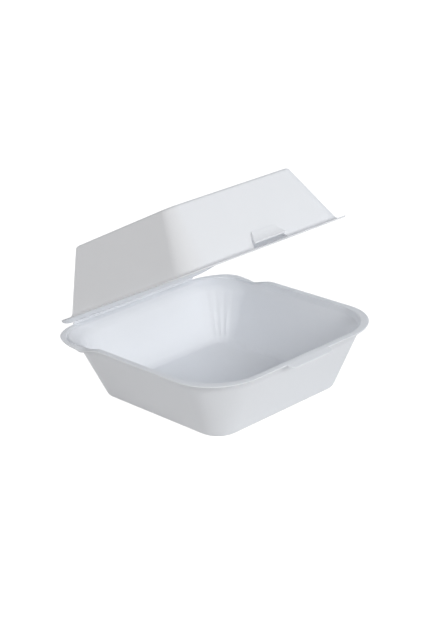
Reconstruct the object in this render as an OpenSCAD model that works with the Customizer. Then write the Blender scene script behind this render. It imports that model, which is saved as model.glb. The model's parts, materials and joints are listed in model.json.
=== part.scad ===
// Hinged foam clamshell food container, shown with its lid part open.
// One thermoformed sheet: a square tray and a matching lid that fold together along a pressed crease.
// Millimetres. Z is up, the crease runs along X at the back (+Y), the tongue is at the front (-Y),
// and the origin is the middle of the tray's underside.

/* [Rim] */
// Width of the tray's rim, side to side
rim_w = 147; // [125:0.5:175]
// Corner radius of the rim at the front
rim_r = 32.5; // [25:0.5:40]
// Corner radius of the rim at the crease end
ear_r = 25; // [18:0.5:30]
// Width of the flat flange at the rim's outer edge
flange_w = 4.2; // [3:0.1:6]
// Thickness of the pressed flange
flange_t = 1.7; // [1.2:0.1:2.4]
// Rounding of the flange's edges
flange_edge = 0.5; // [0.2:0.05:0.6]
// Width of the ledge inside the raised flange
ledge_w = 3.4; // [2:0.1:5]
// Depth of the ledge below the crease's level
ledge_drop = 0.3; // [0.1:0.05:0.5]
// Corner radius of the ledge's outer edge at the front
ledge_r = 31.5; // [24:0.5:38]
// Height of the raised flange above the crease
step_h = 3.2; // [1.5:0.1:5]
// Where along the sides the raised flange has come down to the crease's level
ramp_y = 41.5; // [30:0.5:50]
// Length of the slope that brings the raised flange down
ramp_l = 18; // [8:0.5:30]
// Depth of the dimple pressed at the foot of that slope
dimple_d = 0.9; // [0:0.1:1.5]
// Half width of that dimple
dimple_w = 3; // [2:0.1:6]

/* [Tray] */
// Height of the tray, table to the top of the raised flange
tray_h = 41; // [32:0.5:60]
// Width of the flat underside, before its edge is rounded
foot_w = 104.4; // [85:0.2:118]
// Corner radius of the underside
foot_r = 13.4; // [8:0.2:20]
// Corner radius at the top of the tray's wall
wall_r = 28; // [18:0.2:32]
// Thickness of the foam wall and floor
wall_t = 2.2; // [1.6:0.1:3]
// Rounding of the outer edges
edge_r = 1.6; // [1:0.1:2.5]
// Rounding where the wall meets the floor inside
floor_r = 3.2; // [1.5:0.1:5]

/* [Lid] */
// Height of the lid above its flange
lid_h = 39; // [25:0.5:60]
// Width of the lid's flat top, before its edge is rounded
top_w = 99.6; // [85:0.2:112]
// Corner radius of the lid's top
top_r = 8; // [6:0.2:16]
// Width of the lid's flange, from its edge to the foot of the wall
lid_flange_w = 8.3; // [5:0.1:11]
// Corner radius at the foot of the lid's wall
lid_r = 13; // [10:0.2:22]
// Corner radius of the lid's flange at the front
lid_rim_r = 27; // [22:0.5:36]
// Thickness of the lid's pressed flange
lid_flange_t = 1.3; // [1.1:0.1:2]
// Length of the slope that brings the lid's flange down to the crease
lid_ramp_l = 41; // [20:0.5:60]
// How far the lid's flange stays inside the tray's rim
lid_inset = 2.2; // [0.5:0.1:3]
// Angle the lid is open at
lid_open = 26; // [0:1:150]

/* [Crease] */
// Distance of the crease behind the side width's half
crease_out = 2.5; // [1.5:0.1:8]
// Radius of the rolled bead left along the crease
bead_r = 0.6; // [0.4:0.05:0.9]
// Thickness of the pressed web beside the bead
web_t = 0.5; // [0.4:0.05:0.8]
// Space between the folded flanges, and round the bead
fold_gap = 0.4; // [0.3:0.05:0.8]

/* [Latch] */
// Width of the tongue on the tray's front flange
tongue_w = 34; // [20:0.5:40]
// Reach of the tongue beyond the flange
tongue_l = 4.6; // [2:0.1:8]
// Corner radius of the tongue
tongue_r = 3; // [1.5:0.1:4]
// Thickness of the tongue
tongue_t = 1.2; // [0.8:0.1:1.5]
// Root of the tongue inside the flange
tongue_root = 0.8; // [0.5:0.1:0.9]
// Downward tilt of the tongue
tongue_tilt = 14; // [0:1:15]
// Width of the lanced flap at its fold
flap_top_w = 18; // [12:0.5:26]
// Width of the lanced flap at its free edge
flap_low_w = 26; // [16:0.5:34]
// Height of the lanced flap along the wall
flap_h = 8.2; // [5:0.1:12]
// Thickness of the flap
flap_t = 1.7; // [1.2:0.1:2]
// Angle the flap is bent outwards by, fold to free edge
flap_bend = 26; // [20:1:60]
// Width of the lance cut round the flap
lance_gap = 0.5; // [0.3:0.05:1]
// Height of the cut's lower edge above the lid's flange
lance_up = 0.4; // [0.2:0.1:4]

/* [Smoothness] */
// Steps round one corner
arc_n = 10; // [6:1:14]
// Steps along one straight side
side_n = 16; // [10:1:20]
// Steps along the front and back
end_n = 4; // [2:1:8]
// Steps along the bead of the crease
crease_n = 16; // [8:2:24]
// Steps down the bent flap
flap_n = 8; // [8:1:12]

/* [Hidden] */
$fn = 48;
half_w = rim_w / 2;
crease_y = half_w + crease_out;
crease_z = tray_h - step_h + fold_gap / 2;
flange_y = crease_y - bead_r - fold_gap;
crease_l = rim_w - 2 * ear_r;
crease_run = 0.9;
bead_fn = 16;

// Share of a radius that a rounded edge cuts off halfway round
bulge = 1 - sqrt(0.5);

// Tray stations, outside then inside
ledge_out = half_w - flange_w;
ledge_in = ledge_out - ledge_w;
ledge_y = flange_y - flange_w;
ledge_rb = ear_r - flange_w;
low_z = tray_h - step_h;
ledge_z = low_z - ledge_drop;
foot_h = foot_w / 2;
wall_top = ledge_in + wall_t / 2;
wall_z = ledge_z - wall_t - edge_r;
lean = (wall_top - foot_h) / wall_z;
side_t = wall_t * sqrt(1 + lean * lean);

// Lid stations, drawn closed
lid_z = crease_z + fold_gap / 2;
lid_half = half_w - lid_inset;
lid_foot = lid_half - lid_flange_w;
lid_top_z = lid_z + step_h + lid_h;
top_h = top_w / 2;
lid_lean = (lid_foot - top_h) / (lid_h - lid_flange_t - edge_r);
lid_t = wall_t * sqrt(1 + lid_lean * lid_lean);
lid_slope = atan(lid_lean);

// Points of one rounded corner about a centre
function corner(c, r, a) = [for (i = [0:arc_n]) c + r * [cos(a + 90 * i / arc_n), sin(a + 90 * i / arc_n)]];

// Points between two corners
function side(a, b, n) = [for (i = [1:n]) a + (b - a) * i / (n + 1)];

// Rounded square with its own back reach and back corner radius
function outline(h, back, rf, rb) =
    let (
        bl = [rb - h, back - rb],
        br = [h - rb, back - rb],
        fl = [rf - h, rf - h],
        fr = [h - rf, rf - h]
    )
    concat(
        corner(br, rb, 0),
        side([br[0], back], [bl[0], back], end_n),
        corner(bl, rb, 90),
        side([-h, bl[1]], [-h, fl[1]], side_n),
        corner(fl, rf, 180),
        side([fl[0], -h], [fr[0], -h], end_n),
        corner(fr, rf, 270),
        side([h, fr[1]], [h, br[1]], side_n)
    );

// Rise of a flange above the crease's level, on a slope given by its foot and length
function ease(u) = u * u * (3 - 2 * u);
function rise(y, slope) = len(slope) == 0 ? 0 : step_h * ease(max(0, min(1, (slope[0] - y) / slope[1])));
function dimple(y) = dimple_d * exp(-pow((y - ramp_y) / dimple_w, 2));

// Stations: half width, back reach, front and back radius, height, slope and share of the dimple
function level_at(h, back, r, rb, z) = [h, back, r, rb, z, [], 0];
function square_at(h, r, z) = level_at(h, h, r, r, z);
function rim_at(h, back, r, rb, z, dent) = [h, back, r, rb, z, [ramp_y, ramp_l], dent];
function lid_at(h, back, r, rb, z) = [h, back, r, rb, z, [flange_y, lid_ramp_l], 0];
function ring(s) = [
    for (p = outline(s[0], s[1], s[2], s[3]))
        [p[0], p[1], s[4] + rise(p[1], s[5]) - s[6] * dimple(p[1])]
];

// Closed skin over a row of stations, capped flat at both ends
module skin(stations) {
    rings = [for (s = stations) ring(s)];
    n = len(rings[0]);
    last = len(rings) - 1;
    walls = [
        for (i = [0:last - 1], j = [0:n - 1], k = [0, 1])
            let (a = i * n + j, b = i * n + (j + 1) % n)
            k == 0 ? [a, a + n, b + n] : [a, b + n, b]
    ];
    caps = [[for (j = [0:n - 1]) j], [for (j = [n - 1:-1:0]) last * n + j]];
    polyhedron(points = [for (r = rings) each r], faces = concat(walls, caps), convexity = 8);
}

// Underside, wall, ledge, raised flange, then back down the inside to the floor
module tray_shell() {
    under_z = wall_z + edge_r;
    fold = wall_t / 3;
    ledge_sunk = ledge_out - flange_edge;
    lip = half_w - flange_edge;
    lip_y = flange_y - flange_edge;
    lip_r = rim_r - flange_edge;
    lip_rb = ear_r - flange_edge;
    in_top = wall_top - side_t + lean * wall_t;
    in_foot = foot_h - side_t;
    in_r = foot_r - wall_t;
    skin([
        square_at(foot_h - edge_r, foot_r - edge_r, 0),
        square_at(foot_h - edge_r * bulge, foot_r - edge_r * bulge, edge_r * bulge),
        square_at(foot_h + lean * edge_r, foot_r, edge_r),
        square_at(wall_top, wall_r, wall_z),
        square_at(wall_top + edge_r * bulge, wall_r + edge_r * bulge, under_z - edge_r * bulge),
        square_at(wall_top + edge_r, wall_r + edge_r, under_z),
        rim_at(ledge_out + fold, ledge_y + fold, ledge_r, ledge_rb + fold, under_z, 0),
        rim_at(lip, lip_y, lip_r, lip_rb, low_z - flange_t, 1),
        rim_at(half_w, flange_y, rim_r, ear_r, low_z - flange_t + flange_edge, 1),
        rim_at(half_w, flange_y, rim_r, ear_r, low_z - flange_edge, 1),
        rim_at(lip, lip_y, lip_r, lip_rb, low_z, 1),
        rim_at(ledge_out + flange_edge, ledge_y + flange_edge, ledge_r, ledge_rb + flange_edge, low_z, 0),
        rim_at(ledge_out, ledge_y, ledge_r, ledge_rb, low_z - flange_edge * bulge, 0),
        level_at(ledge_sunk, ledge_y - flange_edge, ledge_r - flange_edge, ledge_rb - flange_edge, ledge_z),
        square_at(ledge_in, wall_r - flange_edge, ledge_z),
        square_at(in_top, wall_r - wall_t, ledge_z - edge_r),
        square_at(in_foot + lean * (floor_r + wall_t), in_r, floor_r + wall_t),
        square_at(in_foot - floor_r * bulge / 2, in_r - floor_r * bulge, wall_t + floor_r * bulge),
        square_at(in_foot - floor_r * (1 - bulge), in_r - floor_r * (1 - bulge), wall_t)
    ]);
}

// Tongue that reaches out from the front flange, with rounded corners and a slight downward tilt
module tongue() {
    translate([0, -half_w, tray_h - flange_t / 2])
        rotate([tongue_tilt, 0, 0])
            linear_extrude(height = tongue_t, center = true)
                union() {
                    translate([-tongue_w / 2, tongue_r - tongue_l])
                        square([tongue_w, tongue_l - tongue_r + tongue_root]);
                    translate([tongue_r - tongue_w / 2, -tongue_l])
                        square([tongue_w - 2 * tongue_r, tongue_l]);
                    for (s = [-1, 1])
                        translate([s * (tongue_w / 2 - tongue_r), tongue_r - tongue_l])
                            circle(r = tongue_r);
                }
}

// Path of the bead: straight along the crease, its ends turned down into the flange
function crease_at(u) =
    let (x = u * crease_l / 2, e = ease(max(0, (abs(u) - crease_run) / (1 - crease_run))))
    [x, crease_y - e * (crease_y - flange_y), crease_z - e * flange_t / 2];

// Thin web and rolled bead pressed along the crease, on the tray's side of the fold
module crease() {
    for (i = [0:crease_n - 1])
        hull()
            for (k = [i, i + 1])
                translate(crease_at(2 * k / crease_n - 1))
                    sphere(r = bead_r, $fn = bead_fn);
    web_l = crease_l * crease_run;
    translate([-web_l / 2, flange_y - flange_t, low_z - bead_r])
        cube([web_l, crease_y - flange_y + flange_t, web_t]);
}

// Opening in the wall round the flap, its fold at zero
module lance_shape() {
    polygon([
        [-flap_top_w / 2 - lance_gap, 0],
        [flap_top_w / 2 + lance_gap, 0],
        [flap_low_w / 2 + lance_gap, -flap_h - lance_gap],
        [-flap_low_w / 2 - lance_gap, -flap_h - lance_gap]
    ]);
}

// Carries the flap's plane to the lid's front wall, fold line uppermost
module on_front_wall() {
    fold_up = lance_up + (flap_h + lance_gap) * cos(lid_slope);
    fold_z = lid_z + step_h + lid_flange_t + fold_up;
    fold_y = lid_foot - lid_lean * (fold_up - edge_r);
    translate([0, -fold_y, fold_z])
        rotate([90 - lid_slope, 0, 0])
            children();
}

// Ceiling, inside of the wall, flange, then up the outside to the flat top
module lid_shell() {
    out_z = lid_z + lid_flange_t;
    roof_z = lid_top_z - wall_t;
    lip = lid_half - flange_edge;
    lip_y = flange_y - flange_edge;
    lip_r = lid_rim_r - flange_edge;
    lip_rb = ear_r - flange_edge;
    in_foot = lid_foot - lid_t + lid_lean * lid_flange_t;
    mouth = in_foot + flange_edge;
    mouth_r = lid_r - flange_edge;
    in_top = top_h - lid_t + lid_lean * wall_t;
    in_r = top_r - wall_t;
    root = lid_foot + edge_r;
    bend = lid_foot + edge_r * bulge;
    skin([
        square_at(in_top - floor_r * (1 - bulge), in_r - floor_r * (1 - bulge), roof_z),
        square_at(in_top, in_r - floor_r * bulge, roof_z - floor_r * bulge),
        square_at(in_top + lid_lean * floor_r, in_r, roof_z - floor_r),
        lid_at(in_foot, in_foot, lid_r - wall_t, lid_r - wall_t, lid_z + edge_r),
        lid_at(mouth, mouth, mouth_r, mouth_r, lid_z),
        lid_at(lip, lip_y, lip_r, lip_rb, lid_z),
        lid_at(lid_half, flange_y, lid_rim_r, ear_r, lid_z + flange_edge),
        lid_at(lid_half, flange_y, lid_rim_r, ear_r, out_z - flange_edge),
        lid_at(lip, lip_y, lip_r, lip_rb, out_z),
        lid_at(root, root, lid_r + edge_r, lid_r + edge_r, out_z),
        lid_at(bend, bend, lid_r + edge_r * bulge, lid_r + edge_r * bulge, out_z + edge_r * bulge),
        lid_at(lid_foot, lid_foot, lid_r, lid_r, out_z + edge_r),
        square_at(top_h + lid_lean * edge_r, top_r, lid_top_z - edge_r),
        square_at(top_h - edge_r * bulge, top_r - edge_r * bulge, lid_top_z - edge_r * bulge),
        square_at(top_h - edge_r, top_r - edge_r, lid_top_z)
    ]);
}

// One thin slat across the flap, a share u of the way from its fold to its free edge.
// It lies midway in the wall's thickness at the fold, and is as wide as the opening less the lance cut.
module slat(u) {
    bend_r = flap_h / (flap_bend * PI / 180);
    turn = flap_bend * u;
    drop = (bend_r - flap_t) * sin(turn);
    width = flap_top_w + (flap_low_w - flap_top_w) * drop / (flap_h + lance_gap);
    translate([0, 0, bend_r - (wall_t + flap_t) / 2])
        rotate([-turn, 0, 0])
            translate([-width / 2, -lance_gap / 2, -bend_r])
                cube([width, lance_gap, flap_t]);
}

// Flap lanced from the front wall and bent outwards from its fold
module flap() {
    on_front_wall()
        for (i = [0:flap_n - 1])
            hull() {
                slat(i / flap_n);
                slat((i + 1) / flap_n);
            }
}

// Opening left by the flap, cut square through the wall
module lance_cut() {
    on_front_wall()
        translate([0, 0, -2 * wall_t])
            linear_extrude(height = 4 * wall_t)
                lance_shape();
}

module tray() {
    color([0.95, 0.95, 0.96])
        union() {
            tray_shell();
            tongue();
            crease();
        }
}

module lid() {
    color([0.93, 0.93, 0.95])
        translate([0, crease_y, crease_z])
            rotate([-lid_open, 0, 0])
                translate([0, -crease_y, -crease_z])
                    union() {
                        difference() {
                            lid_shell();
                            lance_cut();
                        }
                        flap();
                    }
}

tray();
lid();
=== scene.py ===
import json
import math
from collections import namedtuple

import bmesh
import bpy
from mathutils import Matrix, Vector


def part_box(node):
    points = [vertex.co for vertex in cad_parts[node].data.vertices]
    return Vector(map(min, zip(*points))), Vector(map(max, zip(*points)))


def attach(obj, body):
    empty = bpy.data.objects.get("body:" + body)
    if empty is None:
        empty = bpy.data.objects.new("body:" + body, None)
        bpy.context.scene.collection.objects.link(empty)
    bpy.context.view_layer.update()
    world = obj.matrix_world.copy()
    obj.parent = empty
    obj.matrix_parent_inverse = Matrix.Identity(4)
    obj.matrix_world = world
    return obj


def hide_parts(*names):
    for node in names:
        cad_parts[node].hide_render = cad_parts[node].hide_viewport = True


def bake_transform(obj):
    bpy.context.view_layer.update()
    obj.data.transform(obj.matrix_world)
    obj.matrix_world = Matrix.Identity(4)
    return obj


# A hinged foam food container, part open, on a plain white table.
# Metres, Z up, crease at the back (+Y), tongue at the front (-Y), origin under the middle of the tray.
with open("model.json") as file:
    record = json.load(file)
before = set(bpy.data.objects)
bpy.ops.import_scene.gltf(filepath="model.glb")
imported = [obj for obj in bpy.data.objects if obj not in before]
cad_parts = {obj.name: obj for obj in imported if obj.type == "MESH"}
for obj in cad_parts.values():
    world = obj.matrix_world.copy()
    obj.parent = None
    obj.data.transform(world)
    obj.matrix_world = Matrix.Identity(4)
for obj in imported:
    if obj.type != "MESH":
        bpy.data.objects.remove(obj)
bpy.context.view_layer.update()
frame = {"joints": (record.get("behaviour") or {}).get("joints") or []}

# Places that the frame holds
HINGE = frame["joints"][0]
CREASE = Vector(HINGE["pos_m"])
LID_OPEN = math.radians(-HINGE["range_deg"][0])
RIM_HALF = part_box("tray")[1].x
LID_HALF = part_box("lid")[1].x

# Foam sheet
WALL_T = 0.0022
FLANGE_T = 0.0012
FOLD_GAP = 0.0004
EDGE_R = 0.0016
FLOOR_R = 0.0032
LIP_R = 0.0005
UNDERCUT = 0.0006

# Stepped rim
RIM_R = 0.0325
EAR_R = 0.025
FLANGE_W = 0.0042
FLANGE_IN = 0.001
FLANGE_Y = CREASE.y - FLANGE_IN
LEDGE_W = 0.0034
LEDGE_UNDER = WALL_T / 3
LEDGE_R = 0.0315
LEDGE_DROP = 0.0003
LEDGE_FALL = 0.0026
LEDGE_ROLL = 0.003
STEP_H = 0.0032
RAMP_FOOT = 0.0415
RAMP_L = 0.018
DIMPLE_D = 0.0009
DIMPLE_W = 0.003
EAR_LIFT = 0.0008
EAR_FROM = 0.046
EAR_TO = 0.0735
EAR_FADE = 0.012
GROOVE_D = 0.0016
GROOVE_W = 0.0012
GROOVE_EDGE = 0.0002
GROOVE_FROM = 0.034
GROOVE_TO = 0.068
GROOVE_FADE = 0.009

# Tray
FOOT_HALF = 0.0522
FOOT_R = 0.0134
WALL_R = 0.028
LOW_Z = CREASE.z - FOLD_GAP / 2
LEDGE_Z = LOW_Z - LEDGE_DROP
BRIM_Z = LEDGE_Z - LEDGE_FALL
LEDGE_OUT = RIM_HALF - FLANGE_W
LEDGE_BACK = FLANGE_Y - FLANGE_W
LEDGE_EAR_R = EAR_R - FLANGE_W
WALL_TOP = LEDGE_OUT - LEDGE_W + WALL_T / 2
UNDER_Z = LEDGE_Z - WALL_T
LEAN = (WALL_TOP - FOOT_HALF) / (UNDER_Z - EDGE_R)

# Lid, drawn closed
LID_H = 0.0388
TOP_HALF = 0.0498
TOP_R = 0.008
LID_R = 0.013
LID_RIM_R = 0.027
LID_EAR_R = 0.029
LID_FLANGE_T = 0.0008
LID_FLANGE_W = 0.0083
LID_RAMP_L = 0.0167
LID_Z = CREASE.z + FOLD_GAP / 2
LID_TOP_Z = LID_Z + STEP_H + LID_H
LID_FOOT = LID_HALF - LID_FLANGE_W
LID_LEAN = (LID_FOOT - TOP_HALF) / (LID_H - LID_FLANGE_T - EDGE_R)

# Latch
TONGUE_W = 0.034
TONGUE_L = 0.0046
TONGUE_R = 0.003
TONGUE_T = 0.0008
TONGUE_ROOT = 0.0008
TONGUE_TILT = math.radians(9)
FLAP_TOP_W = 0.018
FLAP_LOW_W = 0.026
FLAP_H = 0.0082
FLAP_T = 0.0015
FLAP_BEND = math.radians(26)
FLAP_ROWS = 12
FLAP_SHARP = math.radians(60)
LANCE_GAP = 0.0005
LANCE_UP = 0.0004
LANCE_DEPTH = 4 * WALL_T
TONGUE_EDGE = 0.00035
FLAP_EDGE = 0.0003

# Steps of the loops
CORNER_STEPS = 20
END_CUTS = 5
RAMP_STEPS = 10
PLAIN_ROWS = (-0.026, -0.010, 0.006, 0.017)
DIMPLE_ROWS = (0.0433, 0.0455)
RAMP_TOP = RAMP_FOOT - RAMP_L
RAMP_ROWS = tuple(RAMP_TOP + RAMP_L * k / RAMP_STEPS for k in range(RAMP_STEPS + 1))
ROWS = PLAIN_ROWS + RAMP_ROWS + DIMPLE_ROWS
ROW_LOW = RIM_R - RIM_HALF
ROW_HIGH = FLANGE_Y - EAR_R
LOOP_APART = 0.01
BEVEL_STEPS = 5
TRIM_STEPS = 3
ROUND = 0.5
SHARP = math.radians(40)
EDGE_ENDS = 2

# How near two places are taken as one
NEAR = 1e-5
ROW_NEAR = 2e-6
TINY = 1e-6
ROW_DIGITS = 6

# Pleats where the sheet was drawn into the tray's corners
PLEAT_HEIGHTS = (0.008, 0.015, 0.022, 0.029)
PLEAT_D = 0.0006
PLEAT_STEPS = (7, 10, 13)

# Crushed web along the crease, from inside the tray's flange to the fold (y, z)
WEB_PATH = ((0.0736, 0.0371), (0.0748, 0.0372), (0.0755, 0.0374), (0.0760, 0.0377))
WEB_FOLD = 0.00025
WEB_L = 0.1
WEB_T = 0.00045
WEB_EDGE = WEB_T / 4
WEB_STEPS = 2

# Foam
CELL = 0.0007
MOTTLE = 0.006
WAVE = 0.022
GRAIN = 0.0016
CELL_H = 0.00002
WAVE_H = 0.0004
GRAIN_H = 0.00004
MOTTLE_SHARE = 0.6
CELL_SHARE = 0.4
MOTTLE_DETAIL = 4
FINE_DETAIL = 2
FOAM_ROUGH = 0.62
MOTTLE_ROUGH = 0.16
CELL_ROUGH = 0.1
MIDDLE = 0.5
FOAM_IOR = 1.35
LIGHT_THROUGH = 0.1
LIGHT_DEPTH = 0.003
ALL_EVEN = (1, 1, 1)
TRAY_SHADE = (0.935, 0.955, 0.99, 1)
TRAY_TINT = (0.955, 0.972, 0.997, 1)
LID_SHADE = (0.945, 0.957, 0.982, 1)
LID_TINT = (0.965, 0.976, 0.995, 1)

# Colour sockets of a Mix node
MIX_A = 6
MIX_B = 7
MIX_OUT = 2

# Table, room and lights
WHITE = (1, 1, 1, 1)
TABLE_W = 6
TABLE_PAINT = (0.62, 0.62, 0.62)
SHADOW_SHARE = 0.5
TABLE_LIT = 0.2
ROOM_TINT = (0.97, 0.98, 1.0)
ROOM_LIGHT = 0.29
LIGHT_AIM = Vector((0, 0, 0.06))
KEY = dict(
    turn=math.radians(-3), lift=math.radians(21), distance=1.5, size=0.5, power=10.6, tint=(1, 1, 1),
)
SIDE = dict(
    turn=math.radians(-107), lift=math.radians(15), distance=1.5, size=0.9, power=5.5, tint=(1, 0.98, 0.96),
)
RIGHT = dict(
    turn=math.radians(75), lift=math.radians(30), distance=1.5, size=0.8, power=3.4, tint=(0.78, 0.88, 1),
)

# Camera
VIEW_PLACE = (-0.6064, -0.6452, 0.3988)
VIEW_TURN = math.radians(-42.98)
VIEW_DOWN = math.radians(21.66)
VIEW_ROLL = math.radians(-2.93)
VIEW_LENS = 91.28

Station = namedtuple("Station", "half back front_r back_r z round_r lift")


def ease(u):
    """Smooth step from 0 to 1."""
    u = max(0.0, min(1.0, u))
    return u * u * (3 - 2 * u)


def rise(y):
    """Height of the raised flange above the crease's level."""
    return STEP_H * ease((RAMP_FOOT - y) / RAMP_L)


def dented_rise(y):
    """Height of the rim's outer edge, with the dimple at the slope's foot and the raised ear."""
    dimple = DIMPLE_D * math.exp(-(((y - RAMP_FOOT) / DIMPLE_W) ** 2))
    ear = EAR_LIFT * ease((y - EAR_FROM) / EAR_FADE) * ease((EAR_TO - y) / EAR_FADE)
    return rise(y) - dimple + ear


def lid_rise(y):
    """Height of the lid's flange, which comes down to the crease on a longer slope."""
    return STEP_H * ease((FLANGE_Y - y) / LID_RAMP_L)


def grooved_rise(y):
    """Height of the rim's inner edge, with the groove pressed round each ear."""
    share = ease((y - GROOVE_FROM) / GROOVE_FADE) * ease((GROOVE_TO - y) / GROOVE_FADE)
    return rise(y) - GROOVE_D * share


def square(half, r, z, round_r=0.0):
    """A level loop of the wall or floor."""
    return Station(half, half, r, r, z, round_r, None)


def rim(half, back, r, ear_r, z, round_r=0.0, lift=rise):
    """A loop of the rim, which follows the step."""
    return Station(half, back, r, ear_r, z, round_r, lift)


def slant(lean):
    """Level thickness of a leaning wall."""
    return WALL_T * math.sqrt(1 + lean * lean)


def open_mesh(name):
    """A new mesh object, empty, in edit mode with points selectable."""
    bpy.ops.object.select_all(action="DESELECT")
    bpy.ops.mesh.primitive_plane_add(size=1)
    piece = bpy.context.object
    piece.name = name
    piece.data.name = name
    bpy.ops.object.mode_set(mode="EDIT")
    bpy.ops.mesh.delete(type="VERT")
    bpy.context.tool_settings.mesh_select_mode = (True, False, False)
    return piece


def points():
    """The points of the mesh that is being edited."""
    mesh = bmesh.from_edit_mesh(bpy.context.edit_object.data)
    mesh.verts.ensure_lookup_table()
    mesh.verts.index_update()
    return mesh.verts


def pick(test):
    """Selects the points that pass the test, and the edges and faces between them."""
    bpy.ops.mesh.select_all(action="DESELECT")
    mesh = bmesh.from_edit_mesh(bpy.context.edit_object.data)
    for point in points():
        point.select = test(point)
    mesh.select_flush_mode()
    bmesh.update_edit_mesh(bpy.context.edit_object.data)


def close_mesh():
    """Turns all faces outwards and leaves edit mode."""
    bpy.ops.mesh.select_all(action="SELECT")
    bpy.ops.mesh.normals_make_consistent(inside=False)
    bpy.ops.object.mode_set(mode="OBJECT")


def rounded_loop(s, level):
    """A plane with its corners bevelled, its sides cut into rows and its face taken out."""
    first = len(points())
    bpy.ops.mesh.select_all(action="DESELECT")
    bpy.ops.mesh.primitive_plane_add(size=2)
    bpy.ops.transform.resize(value=(s.half, (s.half + s.back) / 2, 1))
    bpy.ops.transform.translate(value=(0, (s.back - s.half) / 2, level))
    for end, r in ((-1, s.front_r), (1, s.back_r)):
        pick(lambda p: p.index >= first and p.co.y * end > 0 and abs(p.co.x) > s.half - NEAR)
        bpy.ops.mesh.bevel(offset=r, segments=CORNER_STEPS, profile=ROUND, affect="VERTICES")
    pick(lambda p: p.index >= first)
    bpy.ops.mesh.delete(type="ONLY_FACE")
    pick(lambda p: p.index >= first and (p.co.y > s.back - NEAR or p.co.y < NEAR - s.half))
    bpy.ops.mesh.subdivide(number_cuts=END_CUTS)
    low, high = s.front_r - s.half, s.back - s.back_r
    for y in ROWS:
        along = (y - ROW_LOW) / (ROW_HIGH - ROW_LOW)
        row = y if s.lift else low + along * (high - low)
        pick(lambda p: p.index >= first)
        bpy.ops.mesh.bisect(plane_co=(0, row, 0), plane_no=(0, 1, 0), threshold=TINY)
    return range(first, len(points()))


def lift_loop(loop, height_at):
    """Moves each row of a loop, its points at one y, up by the height there."""
    rows = {round(p.co.y, ROW_DIGITS) for p in points() if p.index in loop}
    for y in sorted(rows):
        height = height_at(y)
        if abs(height) > TINY:
            pick(lambda p: p.index in loop and abs(p.co.y - y) < ROW_NEAR)
            bpy.ops.transform.translate(value=(0, 0, height))


def loft(name, stations):
    """A skin bridged between loops that stand apart, which then go to their heights.

    Each loop's rounding is kept as the weight of its edges.
    """
    piece = open_mesh(name)
    levels = [LOOP_APART * k for k in range(len(stations))]
    loops = [rounded_loop(s, level) for s, level in zip(stations, levels)]
    widest = max(s.round_r for s in stations)
    for a, b in zip(loops, loops[1:]):
        pick(lambda p: p.index in a or p.index in b)
        bpy.ops.mesh.bridge_edge_loops()
    for s, loop, level in zip(stations, loops, levels):
        pick(lambda p: p.index in loop)
        bpy.ops.transform.translate(value=(0, 0, s.z - level))
        if s.lift:
            lift_loop(loop, s.lift)
    for loop in (loops[0], loops[-1]):
        pick(lambda p: p.index in loop)
        bpy.ops.mesh.edge_face_add()
    for s, loop in zip(stations, loops):
        if s.round_r:
            pick(lambda p: p.index in loop)
            bpy.ops.transform.edge_bevelweight(value=s.round_r / widest)
    close_mesh()
    return piece, loops, widest


def apply(piece, kind, **settings):
    """Adds a modifier with its settings and applies it."""
    bpy.context.view_layer.objects.active = piece
    modifier = piece.modifiers.new(kind.title(), kind)
    for name, value in settings.items():
        setattr(modifier, name, value)
    bpy.ops.object.modifier_apply(modifier=modifier.name)


def round_edges(piece, widest):
    """Rounds the weighted loops."""
    apply(
        piece, "BEVEL", width=widest, segments=BEVEL_STEPS, limit_method="WEIGHT",
        use_clamp_overlap=False, loop_slide=True,
    )


def smooth(piece):
    """Smooth shading, with the flat faces kept flat beside their rounded edges."""
    bpy.ops.object.select_all(action="DESELECT")
    piece.select_set(True)
    bpy.context.view_layer.objects.active = piece
    bpy.ops.object.shade_smooth_by_angle(angle=SHARP)
    apply(piece, "WEIGHTED_NORMAL", keep_sharp=True)


def settle(piece):
    """Puts the object's place and turn into its mesh."""
    bpy.ops.object.select_all(action="DESELECT")
    piece.select_set(True)
    bpy.context.view_layer.objects.active = piece
    bpy.ops.object.transform_apply(location=True, rotation=True, scale=True)


def combine(piece, tool, operation):
    """Joins a tool piece to the piece, or cuts it out, and removes the tool."""
    apply(piece, "BOOLEAN", operation=operation, object=tool, solver="MANIFOLD")
    bpy.data.objects.remove(tool)


def tray_stations():
    """The tray's loops from its underside, round the rim and back down to the floor."""
    inner = FOOT_HALF - slant(LEAN)
    flange = (RIM_HALF, FLANGE_Y, RIM_R, EAR_R)
    under = [size - UNDERCUT for size in flange]

    def ledge(out, z, round_r, lift):
        """A loop round the ledge, moved out by a little."""
        return Station(
            LEDGE_OUT + out, LEDGE_BACK + out, LEDGE_R + min(out, 0), LEDGE_EAR_R + out, z, round_r, lift,
        )

    def wall_r(z):
        """Corner radius of the inner wall at a height."""
        return FOOT_R - WALL_T + (WALL_R - FOOT_R) * z / LEDGE_Z

    return [
        square(FOOT_HALF, FOOT_R, 0, EDGE_R),
        square(FOOT_HALF + LEAN * UNDER_Z, WALL_R, UNDER_Z, EDGE_R),
        ledge(LEDGE_UNDER, UNDER_Z, LIP_R, rise),
        rim(*under, LOW_Z - FLANGE_T, LIP_R, dented_rise),
        rim(*flange, LOW_Z, LIP_R, dented_rise),
        ledge(LIP_R, LOW_Z, GROOVE_EDGE, rise),
        ledge(0, LOW_Z - LIP_R / 2, 0, grooved_rise),
        ledge(-GROOVE_W, LEDGE_Z, GROOVE_EDGE, None),
        square(inner + LEAN * BRIM_Z, WALL_R - LIP_R, BRIM_Z, LEDGE_ROLL),
        *[square(inner + LEAN * z, wall_r(z), z) for z in reversed(PLEAT_HEIGHTS)],
        square(inner + LEAN * WALL_T, FOOT_R - WALL_T, WALL_T, FLOOR_R),
    ]


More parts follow.
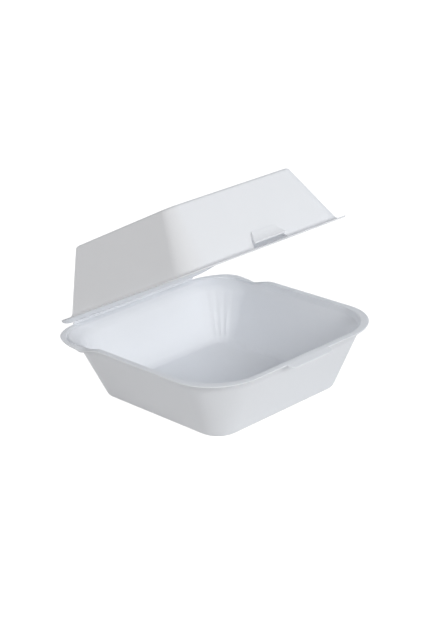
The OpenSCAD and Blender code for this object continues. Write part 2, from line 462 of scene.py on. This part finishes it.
def lid_stations():
    """The closed lid's loops from its top, down the wall, round the flange and up to the ceiling."""
    thick = slant(LID_LEAN)
    flange = (LID_HALF, FLANGE_Y, LID_RIM_R, LID_EAR_R)
    under = [size - UNDERCUT for size in flange]
    out_z = LID_Z + LID_FLANGE_T
    root = LID_FOOT + LID_LEAN * EDGE_R
    mouth = LID_FOOT - thick + LID_LEAN * (LID_FLANGE_T + EDGE_R)
    ceiling = LID_TOP_Z - WALL_T
    return [
        square(TOP_HALF, TOP_R, LID_TOP_Z, EDGE_R),
        rim(root, root, LID_R + EDGE_R, LID_R + EDGE_R, out_z, EDGE_R, lid_rise),
        rim(*flange, out_z, LIP_R, lid_rise),
        rim(*under, LID_Z, LIP_R, lid_rise),
        rim(mouth, mouth, LID_R - LIP_R, LID_R - LIP_R, LID_Z, EDGE_R / 2, lid_rise),
        square(TOP_HALF - thick + LID_LEAN * WALL_T, TOP_R - WALL_T, ceiling, FLOOR_R),
    ]


def corner_step(point, s):
    """Which step of a back or front corner a point stands on, or None on a straight side."""
    r = s.front_r if point.co.y < 0 else s.back_r
    dx = abs(point.co.x) - (s.half - r)
    dy = abs(point.co.y) - (s.half - r)
    if dx < NEAR or dy < NEAR:
        return None
    return round(math.atan2(dy, dx) / (math.pi / 2) * CORNER_STEPS)


def pleat_corners(piece, stations, loops):
    """Presses a few steps of the drawn corners inwards, as shallow upright pleats."""
    bpy.ops.object.select_all(action="DESELECT")
    bpy.context.view_layer.objects.active = piece
    bpy.ops.object.mode_set(mode="EDIT")
    for s, loop in zip(stations, loops):
        if s.z in PLEAT_HEIGHTS:
            pick(lambda p: p.index in loop and corner_step(p, s) in PLEAT_STEPS)
            bpy.ops.transform.shrink_fatten(value=PLEAT_D)
    bpy.ops.object.mode_set(mode="OBJECT")


def tongue():
    """The latch tongue: a plate with two rounded corners, given thickness and tilted down."""
    piece = open_mesh("tongue")
    depth = TONGUE_L + TONGUE_ROOT
    bpy.ops.mesh.primitive_plane_add(size=1, location=(0, TONGUE_ROOT - depth / 2, -TONGUE_T / 2))
    bpy.ops.transform.resize(value=(TONGUE_W, depth, 1))
    pick(lambda p: p.co.y < 0)
    bpy.ops.mesh.bevel(offset=TONGUE_R, segments=CORNER_STEPS // 2, profile=ROUND, affect="VERTICES")
    bpy.ops.mesh.select_all(action="SELECT")
    bpy.ops.mesh.extrude_region_move(TRANSFORM_OT_translate={"value": (0, 0, TONGUE_T)})
    close_mesh()
    apply(piece, "BEVEL", width=TONGUE_EDGE, segments=TRIM_STEPS, limit_method="ANGLE")
    sunk = TONGUE_T / 2 + TONGUE_ROOT * math.sin(TONGUE_TILT)
    piece.rotation_euler.x = TONGUE_TILT
    piece.location = (0, -RIM_HALF, LOW_Z + STEP_H - sunk)
    settle(piece)
    return piece


def to_front_wall(piece):
    """Carries a shape drawn flat, with its fold at y 0, to the closed lid's front wall."""
    slope = math.atan(LID_LEAN)
    up = LANCE_UP + (FLAP_H + LANCE_GAP) * math.cos(slope)
    piece.rotation_euler.x = math.pi / 2 - slope
    piece.location = (0, LID_LEAN * (up - EDGE_R) - LID_FOOT, LID_Z + STEP_H + LID_FLANGE_T + up)
    settle(piece)


def lance_cutter():
    """The opening that the flap leaves, wider at its foot."""
    piece = open_mesh("lance")
    depth = FLAP_H + LANCE_GAP
    low, top = (w + 2 * LANCE_GAP for w in (FLAP_LOW_W, FLAP_TOP_W))
    bpy.ops.mesh.primitive_cube_add(size=1, location=(0, -depth / 2, 0))
    bpy.ops.transform.resize(value=(low, depth, LANCE_DEPTH))
    pick(lambda p: p.co.y > -depth / 2)
    bpy.ops.transform.resize(value=(top / low, 1, 1))
    close_mesh()
    to_front_wall(piece)
    return piece


def lanced_flap():
    """The flap: a strip of rows, each turned a little further out and as wide as the opening there."""
    piece = open_mesh("flap")
    bpy.ops.mesh.primitive_plane_add(size=1, location=(0, LANCE_GAP / 2, (FLAP_T - WALL_T) / 2))
    bpy.ops.transform.resize(value=(FLAP_TOP_W, LANCE_GAP, 1))
    bend_r = FLAP_H / FLAP_BEND - FLAP_T
    step = bend_r * FLAP_BEND / FLAP_ROWS
    width = FLAP_TOP_W
    for row in range(1, FLAP_ROWS + 1):
        turn = FLAP_BEND * (2 * row - 1) / (2 * FLAP_ROWS)
        pick(lambda p: p.index in range(EDGE_ENDS) if row == 1 else p.index >= len(points()) - EDGE_ENDS)
        bpy.ops.mesh.extrude_edges_move(
            TRANSFORM_OT_translate={"value": (0, -step * math.cos(turn), step * math.sin(turn))}
        )
        drop = bend_r * math.sin(FLAP_BEND * row / FLAP_ROWS)
        wider = FLAP_TOP_W + (FLAP_LOW_W - FLAP_TOP_W) * drop / (FLAP_H + LANCE_GAP)
        bpy.ops.transform.resize(value=(wider / width, 1, 1))
        width = wider
    close_mesh()
    apply(piece, "SOLIDIFY", thickness=FLAP_T, offset=-1)
    apply(
        piece, "BEVEL", width=FLAP_EDGE, segments=TRIM_STEPS, limit_method="ANGLE", angle_limit=FLAP_SHARP,
    )
    to_front_wall(piece)
    return piece


def foam_tray():
    """The tray with its tongue."""
    stations = tray_stations()
    piece, loops, widest = loft("foam_tray", stations)
    pleat_corners(piece, stations, loops)
    round_edges(piece, widest)
    combine(piece, tongue(), "UNION")
    smooth(piece)
    return piece


def foam_lid():
    """The lid with its lanced flap, swung open about the crease."""
    piece, _, widest = loft("foam_lid", lid_stations())
    round_edges(piece, widest)
    combine(piece, lance_cutter(), "DIFFERENCE")
    combine(piece, lanced_flap(), "UNION")
    smooth(piece)
    swing = Matrix.Translation(CREASE) @ Matrix.Rotation(-LID_OPEN, 4, "X") @ Matrix.Translation(-CREASE)
    piece.matrix_world = swing
    settle(piece)
    return piece


def crease_strip():
    """The crushed web along the crease: an edge drawn from the tray's flange round to the lid's."""
    piece = open_mesh("crease_strip")
    out = [Vector((0, y, z)) - CREASE for y, z in WEB_PATH]
    swing = Matrix.Rotation(-LID_OPEN, 3, "X")
    home = [swing @ Vector((0, p.y, -p.z)) for p in reversed(out)]
    path = [CREASE + p for p in out + [Vector((0, WEB_FOLD, 0))] + home]
    side = 1
    bpy.ops.mesh.primitive_plane_add(size=side, location=(0, path[0].y, path[0].z))
    bpy.ops.transform.resize(value=(WEB_L, 1, 1))
    pick(lambda p: p.co.y > path[0].y)
    bpy.ops.mesh.delete(type="VERT")
    pick(lambda p: True)
    bpy.ops.transform.translate(value=(0, side / 2, 0))
    for start, end in zip(path, path[1:]):
        pick(lambda p: p.index >= len(points()) - EDGE_ENDS)
        bpy.ops.mesh.extrude_edges_move(TRANSFORM_OT_translate={"value": end - start})
    close_mesh()
    apply(piece, "SUBSURF", levels=WEB_STEPS, render_levels=WEB_STEPS)
    apply(piece, "SOLIDIFY", thickness=WEB_T, offset=0)
    apply(piece, "BEVEL", width=WEB_EDGE, segments=WEB_STEPS, limit_method="ANGLE")
    smooth(piece)
    return piece


class Wire:
    """A socket of a node tree. Arithmetic on it adds Math nodes."""

    def __init__(self, tree, socket=None):
        self.tree = tree
        self.socket = socket

    def node(self, kind, settings, values, out=0):
        """Adds a node: its settings come first, then the values or links of its sockets."""
        made = self.tree.nodes.new("ShaderNode" + kind)
        for name, value in settings.items():
            setattr(made, name, value)
        for name, value in values.items():
            if isinstance(value, Wire):
                self.tree.links.new(value.socket, made.inputs[name])
            else:
                made.inputs[name].default_value = value
        return Wire(self.tree, made.outputs[out] if made.outputs else None)

    def twin(self, out):
        """Another output of the same node."""
        return Wire(self.tree, self.socket.node.outputs[out])

    def math(self, operation, *terms):
        """A Math node on the terms."""
        return self.node("Math", {"operation": operation}, dict(enumerate(terms)))

    def __add__(self, other):
        return self.math("ADD", self, other)

    def __sub__(self, other):
        return self.math("SUBTRACT", self, other)

    def __rsub__(self, other):
        return self.math("SUBTRACT", other, self)

    def __mul__(self, other):
        return self.math("MULTIPLY", self, other)

    __radd__ = __add__
    __rmul__ = __mul__


def blank_tree(owner):
    """The owner's node tree, emptied, as the first wire."""
    owner.use_nodes = True
    owner.node_tree.nodes.clear()
    return Wire(owner.node_tree)


def foam(name, shade, tint):
    """Moulded polystyrene foam: a closed skin over fine cells, a little wavy and mottled."""
    material = bpy.data.materials.new(name)
    start = blank_tree(material)
    place = start.node("TexCoord", {}, {}, "Object")
    cells = start.node(
        "TexVoronoi", {"feature": "SMOOTH_F1"}, {"Vector": place, "Scale": 1 / CELL}, "Distance",
    )
    mottle = start.node("TexNoise", {}, {"Vector": place, "Scale": 1 / MOTTLE, "Detail": MOTTLE_DETAIL})
    wave = start.node("TexNoise", {}, {"Vector": place, "Scale": 1 / WAVE, "Detail": FINE_DETAIL})
    grain = start.node("TexNoise", {}, {"Vector": place, "Scale": 1 / GRAIN, "Detail": FINE_DETAIL})
    shade_mix = mottle * MOTTLE_SHARE + cells * CELL_SHARE
    colour = start.node(
        "Mix", {"data_type": "RGBA"}, {"Factor": shade_mix, MIX_A: shade, MIX_B: tint}, MIX_OUT,
    )
    rough = FOAM_ROUGH + (mottle - MIDDLE) * MOTTLE_ROUGH + (cells - MIDDLE) * CELL_ROUGH
    height = cells * CELL_H + wave * WAVE_H + grain * GRAIN_H
    bump = start.node("Bump", {}, {"Height": height, "Distance": 1, "Strength": 1})
    skin = start.node(
        "BsdfPrincipled", {},
        {
            "Base Color": colour, "Roughness": rough, "Normal": bump, "IOR": FOAM_IOR,
            "Subsurface Weight": LIGHT_THROUGH, "Subsurface Radius": ALL_EVEN,
            "Subsurface Scale": LIGHT_DEPTH,
        },
    )
    start.node("OutputMaterial", {}, {"Surface": skin})
    return material


def dress(piece, material):
    """Gives a piece its foam, in place of the empty slot that a Boolean leaves."""
    piece.data.materials.clear()
    piece.data.materials.append(material)


def shown_rays(start):
    """1 for the rays that show the background: the camera's own, and those by gloss or glass."""
    seen = start.node("LightPath", {}, {}, "Is Camera Ray")
    gloss = start.math("MAXIMUM", seen, seen.twin("Is Glossy Ray"))
    return start.math("MAXIMUM", gloss, seen.twin("Is Transmission Ray"))


def white_table():
    """A wide pale floor that shows white with the object's faint shadow."""
    bpy.ops.object.select_all(action="DESELECT")
    bpy.ops.mesh.primitive_plane_add(size=TABLE_W)
    table = bpy.context.object
    table.name = "white_table"
    material = bpy.data.materials.new("table_paint")
    start = blank_tree(material)
    paint = start.node("BsdfDiffuse", {}, {"Color": (*TABLE_PAINT, 1)})
    faint = start.node("BsdfDiffuse", {}, {"Color": (SHADOW_SHARE, SHADOW_SHARE, SHADOW_SHARE, 1)})
    glow = start.node("Emission", {}, {"Color": WHITE, "Strength": 1 - SHADOW_SHARE * TABLE_LIT})
    shown = start.node("AddShader", {}, {0: faint, 1: glow})
    either = start.node("MixShader", {}, {0: shown_rays(start), 1: paint, 2: shown})
    start.node("OutputMaterial", {}, {"Surface": either})
    table.data.materials.append(material)


def room():
    """Weak light from all round, seen as white."""
    world = bpy.data.worlds.new("studio")
    bpy.context.scene.world = world
    start = blank_tree(world)
    fill = start.node("Background", {}, {"Color": (*ROOM_TINT, 1), "Strength": ROOM_LIGHT})
    white = start.node("Background", {}, {"Color": WHITE, "Strength": 1})
    either = start.node("MixShader", {}, {0: shown_rays(start), 1: fill, 2: white})
    start.node("OutputWorld", {}, {"Surface": either})


def soft_light(name, turn, lift, distance, size, power, tint):
    """A square soft box, turned round from the front and lifted, that faces the object."""
    flat = distance * math.cos(lift)
    place = Vector((flat * math.sin(turn), -flat * math.cos(turn), distance * math.sin(lift)))
    bpy.ops.object.light_add(type="AREA", location=place + LIGHT_AIM)
    lamp = bpy.context.object
    lamp.name = name
    lamp.rotation_euler = place.to_track_quat("Z", "Y").to_euler()
    lamp.data.size = size
    lamp.data.energy = power
    lamp.data.color = tint


def viewpoint():
    """The camera at the picture's angle, a little rolled."""
    turn = Matrix.Rotation(VIEW_TURN, 3, "Z")
    tip = Matrix.Rotation(math.pi / 2 - VIEW_DOWN, 3, "X")
    roll = Matrix.Rotation(VIEW_ROLL, 3, "Z")
    bpy.ops.object.camera_add(location=VIEW_PLACE)
    camera = bpy.context.object
    camera.rotation_euler = (turn @ tip @ roll).to_euler()
    camera.data.lens = VIEW_LENS
    bpy.context.scene.camera = camera


tray = foam_tray()
lid = foam_lid()
web = crease_strip()

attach(tray, "tray")
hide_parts("tray")
dress(tray, foam("tray_foam", TRAY_SHADE, TRAY_TINT))

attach(lid, "lid")
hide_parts("lid")
dress(lid, foam("lid_foam", LID_SHADE, LID_TINT))

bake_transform(web)
dress(web, foam("web_foam", TRAY_SHADE, TRAY_TINT))

white_table()
room()
soft_light("key", **KEY)
soft_light("side", **SIDE)
soft_light("right", **RIGHT)
viewpoint()
bpy.context.scene.view_settings.view_transform = "Standard"
